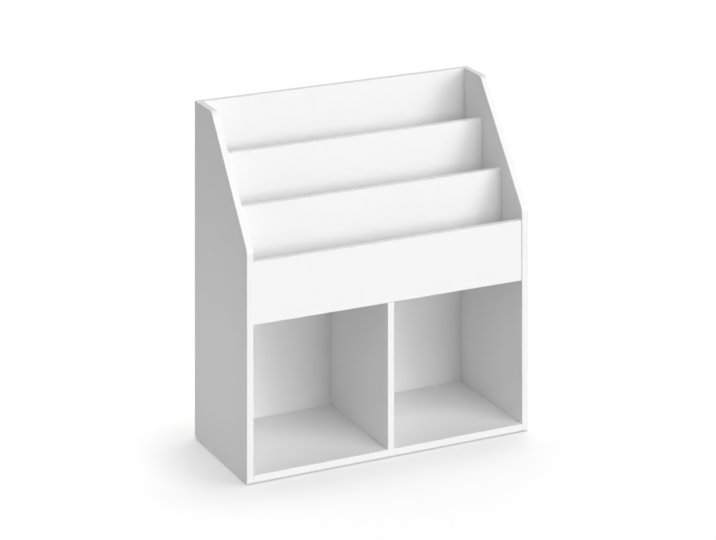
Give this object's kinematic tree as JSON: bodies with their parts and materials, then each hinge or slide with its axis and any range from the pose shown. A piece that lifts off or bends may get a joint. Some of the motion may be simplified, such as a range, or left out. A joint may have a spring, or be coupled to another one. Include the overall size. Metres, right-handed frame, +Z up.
{
  "type": "kids bookcase",
  "caption": "Free-standing white children's bookcase: open square cubbies below and stepped, forward-facing book pockets above, between side panels with a sloped front edge.",
  "frame": {"origin": "on the floor, under the middle of the whole object's box", "axes": "+Z up, +X to the right as seen from the front, +Y to the back; the open front faces -Y"},
  "size_m": [0.723, 0.3074, 0.7873],
  "materials": {
    "white_laminate": "16 mm chipboard faced and edged with white satin melamine",
    "white_hardboard": "3 mm hardboard, lacquered white on its front, bare brown behind",
    "beech": "bare beech",
    "zinc_plated_steel": "bright zinc-plated steel",
    "zinc_casting": "plain zinc die casting, dull",
    "white_cap_plastic": "white moulded plastic, satin",
    "white_glide_plastic": "white moulded plastic, matt"
  },
  "bodies": {
    "root": {"side_panel_left": "white_laminate", "side_panel_right": "white_laminate", "bottom_panel": "white_laminate", "middle_shelf": "white_laminate", "divider_panel": "white_laminate", "front_panel": "white_laminate", "tier_panel_middle": "white_laminate", "tier_panel_rear": "white_laminate", "upper_back_panel": "white_laminate", "pocket_floor_middle": "white_laminate", "pocket_floor_rear": "white_laminate", "back_panel": "white_hardboard", "dowel_bottom_left": "beech", "dowel_bottom_right": "beech", "dowel_shelf_left": "beech", "dowel_shelf_right": "beech", "dowel_front_left": "beech", "dowel_front_right": "beech", "dowel_back_left": "beech", "dowel_back_right": "beech", "dowel_middle_floor_left": "beech", "dowel_middle_floor_right": "beech", "dowel_rear_floor_left": "beech", "dowel_rear_floor_right": "beech", "dowel_divider_bottom": "beech", "dowel_divider_top": "beech", "dowel_tier_left": "beech", "dowel_tier_right": "beech", "cam_bolt_bottom_left": "zinc_plated_steel", "cam_bolt_bottom_right": "zinc_plated_steel", "cam_bolt_shelf_left": "zinc_plated_steel", "cam_bolt_shelf_right": "zinc_plated_steel", "cam_bolt_front_left": "zinc_plated_steel", "cam_bolt_front_right": "zinc_plated_steel", "cam_bolt_back_left": "zinc_plated_steel", "cam_bolt_back_right": "zinc_plated_steel", "tier_screw_middle_left": "zinc_plated_steel", "tier_screw_middle_right": "zinc_plated_steel", "tier_screw_rear_upper_left": "zinc_plated_steel", "tier_screw_rear_upper_right": "zinc_plated_steel", "tier_screw_rear_lower_left": "zinc_plated_steel", "tier_screw_rear_lower_right": "zinc_plated_steel", "cam_lock_bottom_left": "zinc_casting", "cam_lock_bottom_right": "zinc_casting", "cam_lock_shelf_left": "zinc_casting", "cam_lock_shelf_right": "zinc_casting", "cam_lock_front_left": "zinc_casting", "cam_lock_front_right": "zinc_casting", "cam_lock_back_left": "zinc_casting", "cam_lock_back_right": "zinc_casting", "screw_cap_middle_left": "white_cap_plastic", "screw_cap_middle_right": "white_cap_plastic", "screw_cap_rear_upper_left": "white_cap_plastic", "screw_cap_rear_upper_right": "white_cap_plastic", "screw_cap_rear_lower_left": "white_cap_plastic", "screw_cap_rear_lower_right": "white_cap_plastic", "glide_left_front": "white_glide_plastic", "glide_left_rear": "white_glide_plastic", "glide_right_front": "white_glide_plastic", "glide_right_rear": "white_glide_plastic"}
  },
  "joints": []
}
